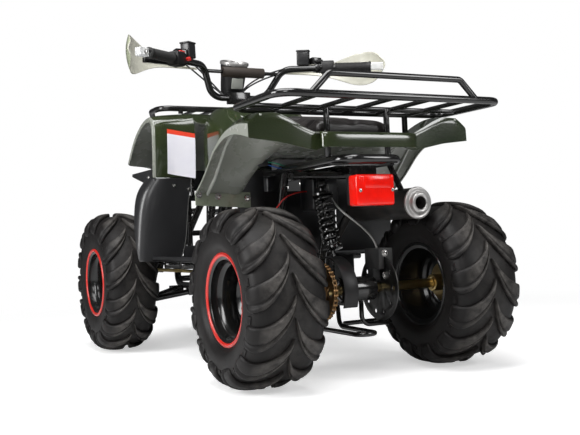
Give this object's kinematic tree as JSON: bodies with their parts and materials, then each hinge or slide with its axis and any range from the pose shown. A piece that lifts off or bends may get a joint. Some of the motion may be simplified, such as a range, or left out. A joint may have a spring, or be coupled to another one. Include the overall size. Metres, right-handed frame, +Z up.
{
  "type": "quad bike",
  "caption": "Small utility quad bike with tubular racks front and rear, lugged low-pressure tyres and handlebar steering.",
  "frame": {"origin": "on the ground, under the middle of the vehicle", "axes": "+X to the vehicle's left, +Y to its rear, +Z up"},
  "size_m": [0.8874, 1.5555, 0.9943],
  "materials": {
    "tyre_rubber": "matte",
    "rim_black": "gloss",
    "zinc_gold": "satin",
    "brake_steel": "satin",
    "sprocket_steel": "satin",
    "chain_steel": "oiled",
    "black_plastic": "matte",
    "black_steel": "gloss",
    "spring_black": "gloss",
    "green_plastic": "gloss",
    "lamp_clear": "clear",
    "seat_vinyl": "grained",
    "step_grey": "matte",
    "engine_alloy": "cast",
    "exhaust_black": "satin",
    "lamp_red": "gloss",
    "pad_foam": "matte",
    "grip_rubber": "matte",
    "lever_black": "satin",
    "guard_olive": "satin"
  },
  "bodies": {
    "chassis": {"brake_caliper": "engine_alloy", "carburettor": "engine_alloy", "chain": "chain_steel", "chain_guard": "black_plastic", "engine_case": "engine_alloy", "engine_cylinder": "engine_alloy", "exhaust_pipe": "exhaust_black", "footwell_left": "black_plastic", "footwell_right": "black_plastic", "frame": "black_steel", "front_bumper": "black_steel", "front_fender": "green_plastic", "front_rack": "black_steel", "front_shocks": "spring_black", "headlamps": "lamp_clear", "muffler": "exhaust_black", "nose_grille": "black_plastic", "rear_fender": "green_plastic", "rear_rack": "black_steel", "rear_shock": "spring_black", "seat": "seat_vinyl", "step_pads": "step_grey", "suspension_arms": "black_steel", "swingarm": "black_steel", "tail_lamp": "lamp_red", "tank_cowl": "green_plastic"},
    "rear_axle": {"axle_shaft": "zinc_gold", "rear_hubs": "zinc_gold", "brake_disc": "brake_steel", "sprocket": "sprocket_steel", "rear_rim_left": "rim_black", "rear_rim_right": "rim_black", "rear_tyre_left": "tyre_rubber", "rear_tyre_right": "tyre_rubber"},
    "steering": {"steering_stem": "black_steel", "handlebar": "black_steel", "bar_pad": "pad_foam", "gauge": "black_plastic", "grips": "grip_rubber", "hand_levers": "lever_black", "switch_boxes": "black_plastic", "handguards": "guard_olive"},
    "knuckle_left": {"knuckle_left": "black_steel"},
    "front_wheel_left": {"front_tyre_left": "tyre_rubber", "front_rim_left": "rim_black", "front_hub_left": "zinc_gold"},
    "tie_rod_left": {"tie_rod_left": "zinc_gold"},
    "knuckle_right": {"knuckle_right": "black_steel"},
    "front_wheel_right": {"front_tyre_right": "tyre_rubber", "front_rim_right": "rim_black", "front_hub_right": "zinc_gold"},
    "tie_rod_right": {"tie_rod_right": "zinc_gold"}
  },
  "joints": [
    {"name": "rear_axle_spin", "type": "hinge", "parent": "chassis", "child": "rear_axle", "pos_m": [0, 0.53, 0.2285], "axis": [1, 0, 0], "continuous": true},
    {"name": "steering_turn", "type": "hinge", "parent": "chassis", "child": "steering", "pos_m": [0, -0.447, 0.29], "axis": [0, 0.4485, 0.8938], "range_deg": [-33, 33]},
    {"name": "knuckle_turn_left", "type": "hinge", "parent": "chassis", "child": "knuckle_left", "pos_m": [0.275, -0.48, 0.2415], "axis": [0, 0, 1], "range_deg": [-33, 33]},
    {"name": "front_wheel_spin_left", "type": "hinge", "parent": "knuckle_left", "child": "front_wheel_left", "pos_m": [0.36, -0.48, 0.2415], "axis": [1, 0, 0], "continuous": true},
    {"name": "tie_rod_turn_left", "type": "hinge", "parent": "steering", "child": "tie_rod_left", "pos_m": [0.014, -0.39875, 0.25237], "axis": [0, 0.4485, 0.8938], "range_deg": [-35.15, 35.15]},
    {"name": "knuckle_turn_right", "type": "hinge", "parent": "chassis", "child": "knuckle_right", "pos_m": [-0.275, -0.48, 0.2415], "axis": [0, 0, 1], "range_deg": [-33, 33]},
    {"name": "front_wheel_spin_right", "type": "hinge", "parent": "knuckle_right", "child": "front_wheel_right", "pos_m": [-0.36, -0.48, 0.2415], "axis": [1, 0, 0], "continuous": true},
    {"name": "tie_rod_turn_right", "type": "hinge", "parent": "steering", "child": "tie_rod_right", "pos_m": [-0.014, -0.39875, 0.25237], "axis": [0, 0.4485, 0.8938], "range_deg": [-35.15, 35.15]}
  ],
  "couplings": [
    {"joint": "knuckle_turn_left", "follows": "steering_turn", "ratio": 1},
    {"joint": "tie_rod_turn_left", "follows": "steering_turn", "ratio": -1.05},
    {"joint": "knuckle_turn_right", "follows": "steering_turn", "ratio": 1},
    {"joint": "tie_rod_turn_right", "follows": "steering_turn", "ratio": -1.05}
  ]
}
